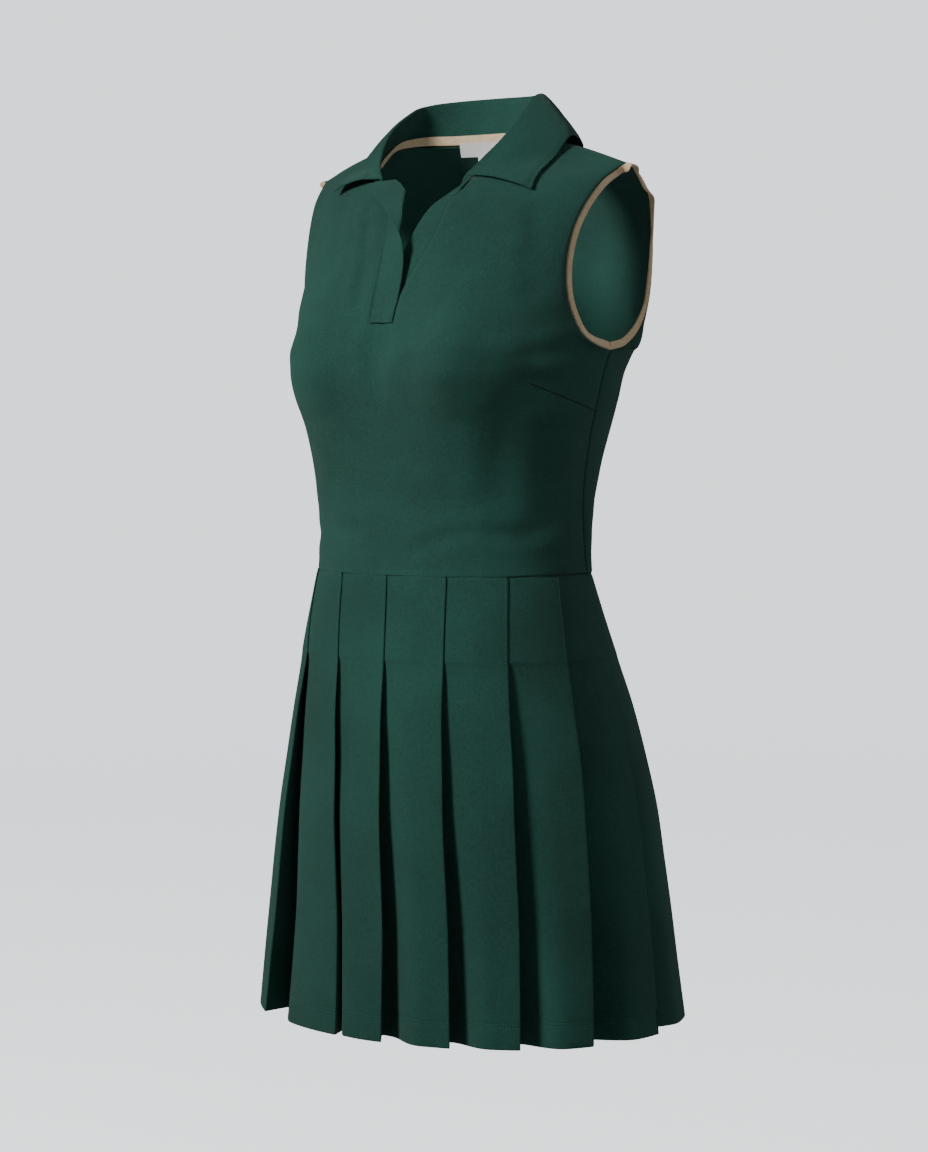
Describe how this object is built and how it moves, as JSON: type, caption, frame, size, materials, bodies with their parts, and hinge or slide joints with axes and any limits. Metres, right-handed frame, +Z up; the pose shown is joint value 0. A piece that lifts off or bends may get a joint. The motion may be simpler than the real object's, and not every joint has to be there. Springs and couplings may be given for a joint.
{
  "type": "sleeveless pleated golf dress",
  "caption": "Sleeveless knit golf dress with an open polo collar, half placket, bound armholes and a knife-pleated skirt, shaped as worn.",
  "frame": {"origin": "shoulder level, on the dress's middle plane between the two shoulder seams, where the dress hangs from the wearer's shoulders", "axes": "+Z up towards the collar, the front of the dress faces -Y, the wearer's left is +X"},
  "size_m": [0.4244, 0.3557, 0.8778],
  "materials": {
    "green_knit": "smooth dark green sports knit, matt with a soft sheen",
    "green_rib_knit": "dark green flat-knit collar with a fine rib",
    "tan_binding": "tan knit binding, folded and edge-stitched",
    "tan_tape": "tan woven neck tape",
    "white_label": "plain white woven label"
  },
  "bodies": {
    "root": {"front_bodice": "green_knit", "back_bodice": "green_knit", "skirt_front": "green_knit", "skirt_back": "green_knit", "placket_over": "green_knit", "placket_under": "green_knit", "collar": "green_rib_knit", "neck_tape": "tan_tape", "armhole_binding_left": "tan_binding", "armhole_binding_right": "tan_binding", "neck_label": "white_label", "size_tab": "white_label"}
  },
  "joints": []
}
